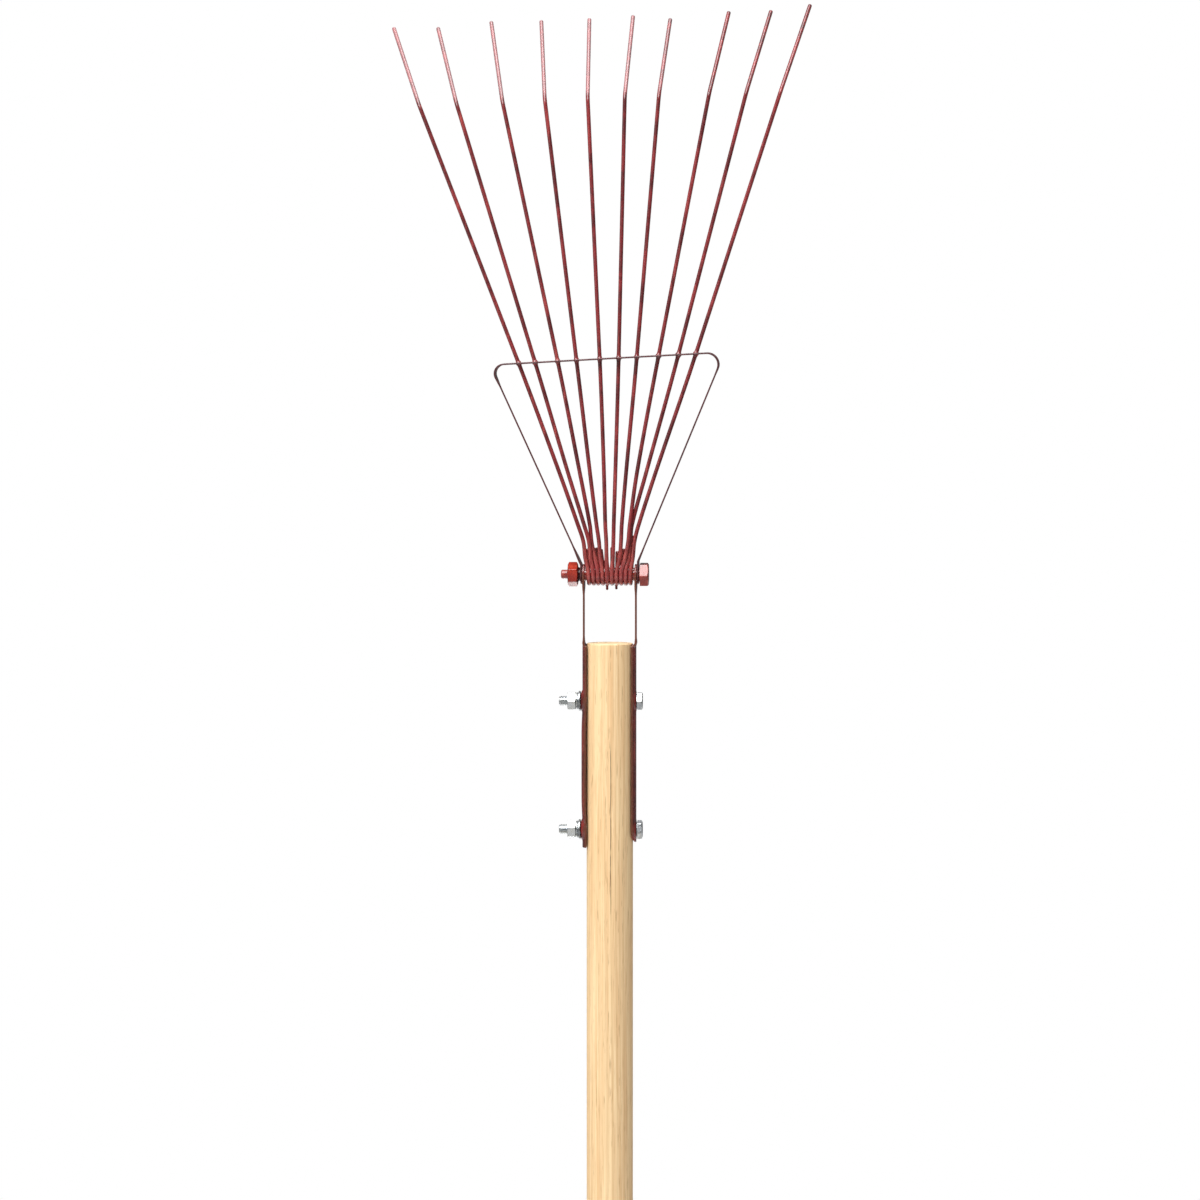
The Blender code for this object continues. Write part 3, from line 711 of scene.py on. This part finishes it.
def smooth_run(points, first_way, last_way):
    """Points of a smooth curve through the given points, without the first one."""
    ways = [first_way.normalized()]
    for before, after in zip(points, points[2:]):
        ways.append((after - before).normalized())
    ways.append(last_way.normalized())
    line = []
    for index in range(len(points) - 1):
        start, end = points[index], points[index + 1]
        reach = (end - start).length
        for step in range(1, 9):
            t = step / 8
            line.append(start * (2 * t ** 3 - 3 * t ** 2 + 1) + end * (3 * t ** 2 - 2 * t ** 3)
                        + ways[index] * reach * (t ** 3 - 2 * t ** 2 + t)
                        + ways[index + 1] * reach * (t ** 3 - t ** 2))
    return line


def densify(line, step):
    points = [line[0]]
    for start, end in zip(line, line[1:]):
        count = max(1, math.ceil((end - start).length / step))
        points += [start.lerp(end, part / count) for part in range(1, count + 1)]
    return points


def tube_rings(points, radius_at, sides):
    """Rings of a round tube, with frames carried along so that they don't twist."""
    tangents = []
    for index in range(len(points)):
        before, after = points[max(index - 1, 0)], points[min(index + 1, len(points) - 1)]
        tangents.append((after - before).normalized())
    across = tangents[0].cross(Vector((1, 0.3, 0.1))).normalized()
    rings = []
    for index, (point, tangent) in enumerate(zip(points, tangents)):
        if index:
            across = tangents[index - 1].rotation_difference(tangent) @ across
        other = tangent.cross(across)
        ring = []
        for turn in even_angles(sides):
            outward = across * math.cos(turn) + other * math.sin(turn)
            ring.append(point + outward * radius_at(index, point, outward))
        rings.append(ring)
    return rings


def build_tine(index):
    """A sprung wire under dip paint: the paint lies unevenly, collects where the wire goes
    through the bar, and beads a little at the ends."""
    points = densify(tine_line(index), 1.6 * MM)
    for _ in range(2):
        first, inward = points[0], (points[1] - points[0]).normalized()
        rounds = [first + inward * (depth * MM) for depth in (0.0, 0.05, 0.18, 0.42, 0.8)]
        points = rounds + [point for point in points if (point - first).length > 1.2 * MM]
        points.reverse()
    hole = tine_hole(index)
    bar_up = Vector((-BAR_SLOPE, 0, 1)).normalized()
    collar = np.linspace(-2.6, 2.6, 19) * MM
    shaft = shaft_direction(index)
    near = [point for point in points if (point - hole).length > 2.8 * MM]
    # the wire passes the bar once, on its way from hook to tip
    cut_at = max(i for i, point in enumerate(near) if (point - hole).dot(bar_up) < 0
                 and (point - hole).length < 12 * MM)
    points = near[:cut_at + 1] + [hole + shaft * step for step in collar] + near[cut_at + 1:]
    start, end = points[0], points[-1]
    crowding = PAINT_CROWDING if 0 < index < TINE_COUNT - 1 else 0.0

    def radius_at(_, point, outward):
        coarse = noise.noise(point * 95 + Vector((index * 3.7, 0, 0)))
        surface = point + outward * WIRE_RADIUS
        peel = noise.noise(surface * 620)
        radius = WIRE_RADIUS * (0.975 + 0.012 * coarse) + 0.012 * MM * peel
        from_bolt = math.hypot(point.y, point.z)
        radius += crowding * smooth_step((CROWDED_REACH - from_bolt) / (6 * MM))
        off_bar = abs((point - hole).dot(bar_up)) - SPREADER_THICKNESS / 2
        if (point - hole).length < 4 * MM:
            pool = max(off_bar, 0) / COLLAR_FADE
            radius += COLLAR_HEIGHT * math.exp(-pool) * (0.85 + 0.3 * coarse)
        for tip, bead in ((start, 0.0), (end, 0.02 * MM)):
            depth = (point - tip).length
            if depth < WIRE_END_ROUNDING:
                round_off = (WIRE_END_ROUNDING - depth) / WIRE_END_ROUNDING
                radius = radius * math.sqrt(max(1 - round_off ** 3 * 0.82, 0.05)) + bead
        return radius

    rings = tube_rings(points, radius_at, 14)
    rings = [[(p.x, p.y, p.z + PIVOT_Z) for p in ring] for ring in rings]
    name = f"tine_{index + 1:02d}"
    tine = new_object(f"wire_{index + 1:02d}", loft(name, rings), tine_paint)
    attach(tine, "head")
    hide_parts(name)


# ---------------------------------------------------------------- spreader

def spreader_path():
    ear = STRAP_FACE + EAR_GAP + SPREADER_THICKNESS / 2
    left_top = Vector((-ear, 0, LEFT_EAR_TOP))
    right_top = Vector((ear, 0, RIGHT_EAR_TOP))
    left, right = bar_point(BAR_LEFT_END), bar_point(BAR_RIGHT_END)
    left_low, right_low = Vector((-ear, 0, -EAR_DEPTH)), Vector((ear, 0, -EAR_DEPTH))
    path = [left_low]
    path += rounded_corner(left_low, left_top, left, 3 * MM, 5)
    path += rounded_corner(left_top, left, right, LEFT_CORNER_RADIUS, 16)
    path += rounded_corner(left, right, right_top, RIGHT_CORNER_RADIUS, 16)
    path += rounded_corner(right, right_top, right_low, 3 * MM, 5)
    path.append(right_low)
    return path


def build_spreader():
    """One flat strip bent into a triangle, with sheared and painted edges."""
    half = SPREADER_HALF_WIDTH
    path = densify(spreader_path(), 2.2 * MM)
    ends = [half * (1 - math.cos(math.radians(angle))) for angle in (4, 14, 26, 40, 56, 74, 90)]
    first, last = path[0], path[-1]
    up = Vector((0, 0, 1))
    start = [first + up * step for step in ends]
    finish = [last + up * step for step in ends]
    middle = [p for p in path if (p - first).length > ends[-1] + 0.4 * MM
              and (p - last).length > ends[-1] + 0.4 * MM]
    line = start + middle + finish[::-1]
    columns = spread_columns(half, EDGE_ROUNDING, 11)
    rings = []
    for index, point in enumerate(line):
        tangent = (line[min(index + 1, len(line) - 1)] - line[max(index - 1, 0)]).normalized()
        normal = Vector((-tangent.z, 0, tangent.x))
        reach = min((point - first).length, (point - last).length)
        at_end = reach < half and abs(abs(point.x) - abs(first.x)) < 0.1 * MM and point.z < 1 * MM
        width = math.sqrt(max(half ** 2 - (half - reach) ** 2, 0)) if at_end else half
        below_bar = bar_point(point.x).z - point.z
        turn = ARM_TURN["left" if point.x < 0 else "right"]
        turn *= smooth_step((point.z - 8 * MM) / (10 * MM)) * smooth_step(
            (below_bar - 7 * MM) / (8 * MM))
        one, two = [], []
        for column in columns:
            y = column * width / half
            if at_end:
                distance = half - math.hypot(y, half - reach)
            else:
                distance = half - abs(y)
            rise = SPREADER_THICKNESS / 2 - edge_inset(distance, 0.3 * MM)
            rise += 0.008 * MM * noise.noise(Vector((point.x * 300, y * 300, point.z * 300)))
            for side, sign in ((one, 1), (two, -1)):
                spot = point + normal * (sign * rise + turn * y)
                side.append((spot.x, y, spot.z + PIVOT_Z))
        rings.append(one + two[::-1])
    spreader = new_object("spreader_strip", loft("spreader", rings), spreader_paint)
    tools, reach = [], 4 * SPREADER_THICKNESS
    lift = Vector((0, 0, PIVOT_Z))
    for index in range(TINE_COUNT):
        hole, along = tine_hole(index) + lift, shaft_direction(index)
        tools.append(rod(TINE_HOLE_RADIUS, hole - along * reach, hole + along * reach, 32))
    ear = abs(first.x)
    for side in (-1, 1):
        tools.append(rod(PIVOT_RADIUS + 0.6 * MM, (side * (ear - 4 * MM), 0, PIVOT_Z),
                         (side * (ear + 4 * MM), 0, PIVOT_Z)))
    cut(spreader, tools)
    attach(spreader, "head")
    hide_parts("spreader_frame")


# ---------------------------------------------------------------- fasteners

def hex_outline(across_flats, first_corner, rounding):
    """Points round a hexagon with softened corners, as (angle, radius) pairs."""
    first = math.radians(first_corner)
    reach = (across_flats / 2 - rounding) / math.cos(math.radians(30))
    corners = []
    for corner in range(6):
        toward = first + math.radians(60) * corner
        for step in range(-2, 3):
            turn = toward + math.radians(15) * step
            corners.append(Vector((reach * math.cos(toward) + rounding * math.cos(turn),
                                   reach * math.sin(toward) + rounding * math.sin(turn))))
    points = []
    for index, point in enumerate(corners):
        points.append(point)
        if index % 5 == 4:
            after = corners[(index + 1) % len(corners)]
            points += [point.lerp(after, part / 8) for part in range(1, 8)]
    return [(math.atan2(p.y, p.x), p.length) for p in points]


def hex_rings(outline, height, x_from, x_to, chamfer_from, chamfer_to, flats):
    """Rings of a hexagon's sides between two planes, its corners cut back by a cone."""
    circle = flats * CHAMFER_SHARE
    way = 1 if x_to > x_from else -1
    tan30 = math.tan(math.radians(30))

    def ring(x, chamfer, toward):
        return [(x + toward * (max(radius - circle, 0) * tan30 if chamfer else 0),
                 radius * math.cos(angle), height + radius * math.sin(angle))
                for angle, radius in outline]

    return [ring(x_from, chamfer_from, way), ring(x_to, chamfer_to, -way)]


def circle_ring(outline, radius, x, height):
    return [(x, radius * math.cos(angle), height + radius * math.sin(angle))
            for angle, _ in outline]


def thread_rings(outline, major, pitch, x_from, x_to, height, fade_from, fade_to):
    """Rings of a helical thread from x_from to x_to. It fades out over a pitch at each end."""
    count = max(2, round(abs(x_to - x_from) / (pitch / 8)))
    depth = 0.56 * pitch
    rings = []
    for step in range(count + 1):
        x = x_from + (x_to - x_from) * step / count
        ring = []
        for angle, _ in outline:
            phase = x / pitch + angle / (2 * math.pi)
            wave = 0.5 - 0.5 * math.cos(2 * math.pi * phase)
            radius = major - depth * wave ** 0.8
            near_from, near_to = abs(x - x_from) / pitch, abs(x - x_to) / pitch
            if fade_from and near_from < 1:
                radius = min(radius, major - depth * (1 - near_from))
            if fade_to and near_to < 1:
                radius = max(radius, major - depth * near_to * 0.5) if near_to < 0.5 else radius
            ring.append((x, radius * math.cos(angle), height + radius * math.sin(angle)))
        rings.append(ring)
    return rings


def build_bolt(name, node, height, radius, flats, head_height, first_corner, material,
               threaded, point=None):
    low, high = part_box(node)
    outline = hex_outline(flats, first_corner, CORNER_ROUNDING)
    head_from, head_to = high.x - head_height, high.x
    circle = flats * CHAMFER_SHARE
    rings = []

    def circles(pairs):
        for x, size in pairs:
            rings.append(circle_ring(outline, size, x, height))

    if point:
        point_radius, point_length = point
        end = low.x + point_length
        circles((low.x + x * MM, point_radius * share) for x, share in (
            (0, 0.12), (0, 0.55), (0.10, 0.80), (0.32, 0.93), (0.7, 1.0)))
        circles((end + x * MM, point_radius * share) for x, share in (
            (-0.7, 1.0), (-0.25, 1.06), (0.02, 1.2)))
        circles([(end + 0.1 * MM, radius * 0.9), (end + 0.5 * MM, radius)])
    else:
        circles([(low.x, radius * 0.12), (low.x, radius * 0.70)])
        thread_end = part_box(node.replace("bolt", "nut"))[1].x + 3 * MM
        rings += thread_rings(outline, radius, BOLT_PITCH, low.x + 0.12 * MM, thread_end,
                              height, True, True)
    if threaded:
        circles([(rings[-1][0][0] + 0.3 * MM, radius)])
    circles([(head_from - 0.3 * MM, radius), (head_from, radius * 1.06), (head_from, circle),
             (head_from + 0.15 * MM, circle)])
    rings += hex_rings(outline, height, head_from + 0.15 * MM, head_to, False, True, flats)
    circles([(head_to, circle), (head_to - 0.12 * MM, circle * 0.9),
             (head_to - 0.14 * MM, circle * 0.12)])
    bolt = new_object(name, loft(name, rings), material)
    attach(bolt, "handle")
    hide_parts(node)


def build_nut(name, node, height, hole_radius, flats, first_corner, material):
    low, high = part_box(node)
    outline = hex_outline(flats, first_corner, CORNER_ROUNDING)
    circle = flats * CHAMFER_SHARE
    sides = hex_rings(outline, height, low.x, high.x, True, True, flats)
    rings = [
        circle_ring(outline, hole_radius, high.x - 0.5 * MM, height),
        circle_ring(outline, hole_radius, low.x + 0.5 * MM, height),
        circle_ring(outline, hole_radius * 1.12, low.x, height),
        circle_ring(outline, circle, low.x, height),
        sides[0],
        sides[1],
        circle_ring(outline, circle, high.x, height),
        circle_ring(outline, hole_radius * 1.12, high.x, height),
    ]
    nut = new_object(name, loft(name, rings, cyclic=True), material)
    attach(nut, "handle")
    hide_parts(node)


def build_washer(name, node, height):
    low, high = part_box(node)
    outer, inner, soft = (high.z - low.z) / 2, BOLT_RADIUS + 0.25 * MM, 0.16 * MM
    profile = [
        (low.x, inner + soft), (low.x, outer - soft), (low.x + soft * 0.3, outer - soft * 0.3),
        (low.x + soft, outer), (high.x - soft, outer), (high.x - soft * 0.3, outer - soft * 0.3),
        (high.x, outer - soft), (high.x, inner + soft), (high.x - soft, inner),
        (low.x + soft, inner)]
    rings = around_x(profile, height, even_angles(64))
    washer = new_object(name, loft(name, rings, cyclic=True), washer_zinc)
    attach(washer, "handle")
    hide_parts(node)


def build_spring_washer(name, node, height):
    """A split coil of square wire, its two ends standing a little apart along the bolt."""
    low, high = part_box(node)
    outer, inner = (high.z - low.z) / 2 - 0.02 * MM, BOLT_RADIUS + 0.35 * MM
    middle, half = (low.x + high.x) / 2, (high.x - low.x) / 2 - 0.2 * MM
    gap, soft = math.radians(11), 0.18 * MM
    start = math.radians(90) + gap / 2
    section = [(-half, inner + soft), (-half, outer - soft), (-half + soft, outer),
               (half - soft, outer), (half, outer - soft), (half, inner + soft),
               (half - soft, inner), (-half + soft, inner)]
    rings = []
    for step in range(61):
        part = step / 60
        turn = start + (2 * math.pi - gap) * part
        lead = (part - 0.5) * 0.34 * MM
        ring = []
        for x, radius in section:
            slant = turn + x / outer * 0.45
            ring.append((middle + x + lead, radius * math.cos(slant),
                         height + radius * math.sin(slant)))
        rings.append(ring)
    washer = new_object(name, loft(name, rings), zinc)
    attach(washer, "handle")
    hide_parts(node)


def build_fasteners():
    for place, height in (("upper", UPPER_BOLT_Z), ("lower", LOWER_BOLT_Z)):
        build_bolt("bolt_" + place, "handle_bolt_" + place, height, BOLT_RADIUS, BOLT_HEX,
                   BOLT_HEAD_HEIGHT, HEAD_CORNERS[place], zinc, True)
        build_nut("nut_" + place, "handle_nut_" + place, height, BOLT_RADIUS + 0.15 * MM,
                  BOLT_HEX, NUT_CORNERS[place], nut_zinc)
        build_washer("washer_" + place, "plain_washer_" + place, height)
        build_spring_washer("lock_washer_" + place, "spring_washer_" + place, height)
    build_bolt("pivot_bolt_painted", "pivot_bolt", PIVOT_Z, PIVOT_RADIUS, PIVOT_HEX,
               PIVOT_HEAD_HEIGHT, PIVOT_HEAD_CORNER, bolt_paint, False,
               (PIVOT_POINT_RADIUS, PIVOT_POINT_LENGTH))
    build_nut("pivot_nut_painted", "pivot_nut", PIVOT_Z, PIVOT_RADIUS + 0.05 * MM, PIVOT_HEX,
              PIVOT_NUT_CORNER, bolt_paint)


def build_paint_necks():
    """Paint that has crept along the pivot bolt from the nut and from the head, coloured near
    black as painted shade.
    """
    ear = STRAP_FACE + EAR_GAP + SPREADER_THICKNESS
    nut_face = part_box("pivot_nut")[1].x
    head_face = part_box("pivot_bolt")[1].x - PIVOT_HEAD_HEIGHT
    for name, face, end in (("paint_neck_nut", nut_face, -ear - 0.12 * MM),
                            ("paint_neck_head", head_face, ear + 0.12 * MM)):
        span = end - face
        shape = ((0.0, 5.6), (0.08, 4.9), (0.22, 4.4), (0.45, 4.14), (0.8, 4.12), (1.0, 4.3))
        profile = [(face + span * part, radius * MM) for part, radius in shape]
        profile += [(end, 3.9 * MM), (face, 3.9 * MM)]
        rings = around_x(profile, PIVOT_Z, even_angles(48))
        neck = new_object(name, loft(name, rings, cyclic=True), shade_paint)
        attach(neck, "handle")


def build_drips():
    """Two drops of paint that dried hanging under the hooks."""
    for name, index, length in (("paint_drip_1", 4, 2.7), ("paint_drip_2", 6, 2.3)):
        x = (index - (TINE_COUNT - 1) / 2) * ROOT_PITCH
        top = -HOOK_RADIUS - WIRE_RADIUS
        shape = ((0.5, 1.05), (0.1, 0.95), (-0.25, 0.78), (-0.9, 0.70), (-1.5, 0.76),
                 (-2.0, 0.78), (-2.35, 0.66), (-2.6, 0.42), (-2.7, 0.12))
        profile = [(PIVOT_Z + top + z * length / 2.7 * MM, radius * MM) for z, radius in shape]
        rings = around_z(profile, x - 0.2 * MM, -0.6 * MM, 20)
        drip = new_object(name, loft(name, rings), strap_paint)
        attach(drip, "head")


# ---------------------------------------------------------------- studio

def soft_light(name, place, aim, width, height, power):
    data = bpy.data.lights.new(name, "AREA")
    data.shape = "RECTANGLE"
    data.size, data.size_y = width, height
    data.energy = power
    light = bpy.data.objects.new(name, data)
    bpy.context.scene.collection.objects.link(light)
    light.location = place
    light.rotation_euler = (Vector(aim) - Vector(place)).to_track_quat("-Z", "Y").to_euler()
    light.visible_camera = False


def ramp(tree, value, low, high, to_low, to_high):
    item = tree.nodes.new("ShaderNodeMapRange")
    item.interpolation_type = "SMOOTHSTEP"
    tree.links.new(value, item.inputs["Value"])
    for key, number in (("From Min", low), ("From Max", high),
                        ("To Min", to_low), ("To Max", to_high)):
        item.inputs[key].default_value = number
    return item.outputs["Result"]


def build_studio():
    """A pale round floor in white air, glowing towards its rim and painted darker in reflections,
    and soft boxes up to the left and above.
    """
    sides, rings = 96, []
    for radius in (0.05, 1.0, 2.0, 3.0, FLOOR_RADIUS):
        rings.append([(radius * math.cos(turn), radius * math.sin(turn), FLOOR_HEIGHT)
                      for turn in even_angles(sides)])
    bm = bmesh.new()
    verts = [[bm.verts.new(point) for point in ring] for ring in rings]
    for inner, outer in zip(verts, verts[1:]):
        for side in range(sides):
            after = (side + 1) % sides
            bm.faces.new((inner[side], outer[side], outer[after], inner[after]))
    bm.faces.new(verts[0])
    bmesh.ops.recalc_face_normals(bm, faces=bm.faces)
    mesh = bpy.data.meshes.new("studio_floor")
    bm.to_mesh(mesh)
    bm.free()
    g = Graph("studio_floor")
    # the floor glows more towards its rim: painted light that fades it into the white air
    length = g.add("ShaderNodeVectorMath", operation="LENGTH")
    g.link(g.place, length.inputs[0])
    g.link(g.band(length.outputs["Value"], 1.4, FLOOR_RADIUS, 0.0, 0.75),
           g.shader.inputs["Emission Strength"])
    g.shader.inputs["Emission Color"].default_value = (1, 1, 1, 1)
    # only in reflections the floor is painted darker, more in front than behind: painted shade
    mirrored = g.add("ShaderNodeLightPath").outputs["Is Glossy Ray"]
    reflection_shade = g.math("MULTIPLY", mirrored, g.band(g.coordinates()["Y"], -0.3, 0.9, 0.58, 0.30))
    g.feed(g.shader.inputs["Base Color"], g.mix(reflection_shade, (0.80, 0.80, 0.80), (0.0, 0.0, 0.0)))
    g.shader.inputs["Roughness"].default_value = 0.85
    new_object("studio_floor", mesh, g.material)

    world = bpy.data.worlds.new("studio_air")
    bpy.context.scene.world = world
    world.use_nodes = True
    tree = world.node_tree
    dim = tree.nodes["Background"]
    dim.inputs["Color"].default_value = (1, 1, 1, 1)
    way = tree.nodes.new("ShaderNodeTexCoord")
    parts = tree.nodes.new("ShaderNodeSeparateXYZ")
    tree.links.new(way.outputs["Generated"], parts.inputs[0])
    above = ramp(tree, parts.outputs["Z"], 0.25, 0.8, 0, AIR_ABOVE)
    behind = ramp(tree, parts.outputs["Y"], -0.35, 0.75, AIR_FRONT, AIR_BEHIND)
    total = tree.nodes.new("ShaderNodeMath")
    tree.links.new(above, total.inputs[0])
    tree.links.new(behind, total.inputs[1])
    tree.links.new(total.outputs[0], dim.inputs["Strength"])
    seen = tree.nodes.new("ShaderNodeBackground")
    seen.inputs["Color"].default_value = (1, 1, 1, 1)
    rays = tree.nodes.new("ShaderNodeLightPath")
    choose = tree.nodes.new("ShaderNodeMixShader")
    tree.links.new(rays.outputs["Is Camera Ray"], choose.inputs[0])
    tree.links.new(dim.outputs[0], choose.inputs[1])
    tree.links.new(seen.outputs[0], choose.inputs[2])
    tree.links.new(choose.outputs[0], tree.nodes["World Output"].inputs["Surface"])

    aim = (0, 0, PIVOT_Z)
    soft_light("key_box", (-1.95, -2.25, PIVOT_Z + 0.8), aim, 1.3, 2.4, KEY_POWER)
    soft_light("top_box", (-0.52, -0.80, PIVOT_Z + 2.2), aim, 1.6, 3.4, TOP_POWER)
    soft_light("front_box", (-0.22, -1.82, PIVOT_Z + 1.87), aim, 1.0, 0.75, FRONT_POWER)
    soft_light("floor_box", (-0.3, 1.3, 0.7), (-0.3, 1.3, 0), 0.9, 0.9, FLOOR_POWER)


def build_camera():
    data = bpy.data.cameras.new("camera")
    data.lens = CAMERA_LENS
    data.sensor_width = 36
    data.clip_start, data.clip_end = 0.1, 60
    camera = bpy.data.objects.new("camera", data)
    bpy.context.scene.collection.objects.link(camera)
    level = Vector((math.sin(CAMERA_AZIMUTH), -math.cos(CAMERA_AZIMUTH), 0))
    camera.location = CAMERA_TARGET + CAMERA_DISTANCE * (
        level * math.cos(CAMERA_ELEVATION) + Vector((0, 0, math.sin(CAMERA_ELEVATION))))
    camera.rotation_euler = (math.radians(90) - CAMERA_ELEVATION, 0, CAMERA_AZIMUTH)
    bpy.context.scene.camera = camera


# ---------------------------------------------------------------- the rake

build_pole()
for name in ("left", "right"):
    build_strap(name)
for tine in range(TINE_COUNT):
    build_tine(tine)
build_spreader()
build_fasteners()
build_paint_necks()
build_drips()
build_studio()
build_camera()

bpy.context.scene.view_settings.view_transform = "Standard"
